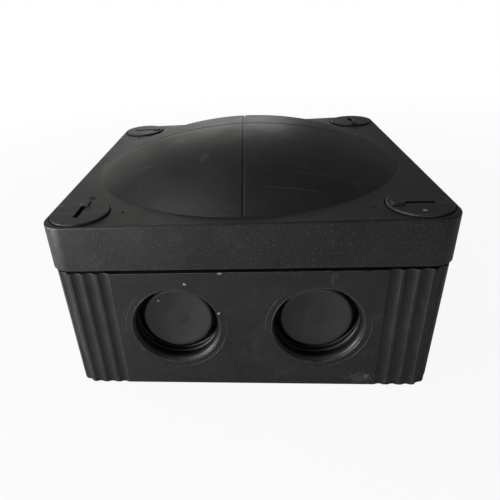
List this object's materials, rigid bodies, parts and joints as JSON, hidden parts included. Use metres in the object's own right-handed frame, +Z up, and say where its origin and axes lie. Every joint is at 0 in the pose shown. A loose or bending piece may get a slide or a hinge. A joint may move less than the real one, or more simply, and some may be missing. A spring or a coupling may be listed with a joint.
{
  "type": "pv junction box",
  "caption": "Square weatherproof junction box with domed lift-off lid, quarter-turn corner locks, fluted corners, threaded cable entries closed by membranes, and a terminal block inside.",
  "frame": {"origin": "middle of the underside of the base", "axes": "+Z up through the lid's dome, -Y out of the face with two cable entries that the picture shows, +X to that face's right"},
  "size_m": [0.0852, 0.0852, 0.0525],
  "materials": {
    "black_housing": "fine spark-eroded grain, slightly dusty",
    "membrane": "smooth matt elastomer",
    "seal": "soft foamed seal",
    "grey_insulator": "light grey moulded insulator",
    "brass": "nickel-free brass",
    "zinc_steel": "zinc-plated screw steel"
  },
  "bodies": {
    "housing": {"base_box": "black_housing", "entry_membrane_front_left": "membrane", "entry_membrane_front_right": "membrane", "entry_membrane_rear_left": "membrane", "entry_membrane_rear_right": "membrane", "entry_membrane_left": "membrane", "entry_membrane_right": "membrane", "entry_membrane_floor": "membrane", "terminal_carrier": "grey_insulator", "carrier_fixing_screws": "zinc_steel", "terminal_clamp_1": "brass", "terminal_clamp_2": "brass", "terminal_clamp_3": "brass", "terminal_clamp_4": "brass", "terminal_clamp_5": "brass"},
    "lid": {"lid": "black_housing", "lid_gasket": "seal"},
    "lock_front_left": {"lid_lock_front_left": "black_housing"},
    "lock_front_right": {"lid_lock_front_right": "black_housing"},
    "lock_rear_right": {"lid_lock_rear_right": "black_housing"},
    "lock_rear_left": {"lid_lock_rear_left": "black_housing"},
    "clamp_screw_1": {"clamp_screw_1": "zinc_steel"},
    "clamp_screw_2": {"clamp_screw_2": "zinc_steel"},
    "clamp_screw_3": {"clamp_screw_3": "zinc_steel"},
    "clamp_screw_4": {"clamp_screw_4": "zinc_steel"},
    "clamp_screw_5": {"clamp_screw_5": "zinc_steel"}
  },
  "joints": [
    {"name": "lid_lift_off", "type": "slide", "parent": "housing", "child": "lid", "axis": [0, 0, 1], "range_m": [0, 0.06]},
    {"name": "lock_front_left_turn", "type": "hinge", "parent": "lid", "child": "lock_front_left", "pos_m": [-0.0355, -0.0355, 0.043], "axis": [0, 0, 1], "range_deg": [-90, 0]},
    {"name": "lock_front_right_turn", "type": "hinge", "parent": "lid", "child": "lock_front_right", "pos_m": [0.0355, -0.0355, 0.043], "axis": [0, 0, 1], "range_deg": [-90, 0]},
    {"name": "lock_rear_right_turn", "type": "hinge", "parent": "lid", "child": "lock_rear_right", "pos_m": [0.0355, 0.0355, 0.043], "axis": [0, 0, 1], "range_deg": [-90, 0]},
    {"name": "lock_rear_left_turn", "type": "hinge", "parent": "lid", "child": "lock_rear_left", "pos_m": [-0.0355, 0.0355, 0.043], "axis": [0, 0, 1], "range_deg": [-90, 0]},
    {"name": "clamp_screw_1_feed", "type": "slide", "parent": "housing", "child": "clamp_screw_1", "axis": [0, 0, -1], "range_m": [0, 0.0028]},
    {"name": "clamp_screw_2_feed", "type": "slide", "parent": "housing", "child": "clamp_screw_2", "axis": [0, 0, -1], "range_m": [0, 0.0028]},
    {"name": "clamp_screw_3_feed", "type": "slide", "parent": "housing", "child": "clamp_screw_3", "axis": [0, 0, -1], "range_m": [0, 0.0028]},
    {"name": "clamp_screw_4_feed", "type": "slide", "parent": "housing", "child": "clamp_screw_4", "axis": [0, 0, -1], "range_m": [0, 0.0028]},
    {"name": "clamp_screw_5_feed", "type": "slide", "parent": "housing", "child": "clamp_screw_5", "axis": [0, 0, -1], "range_m": [0, 0.0028]}
  ]
}
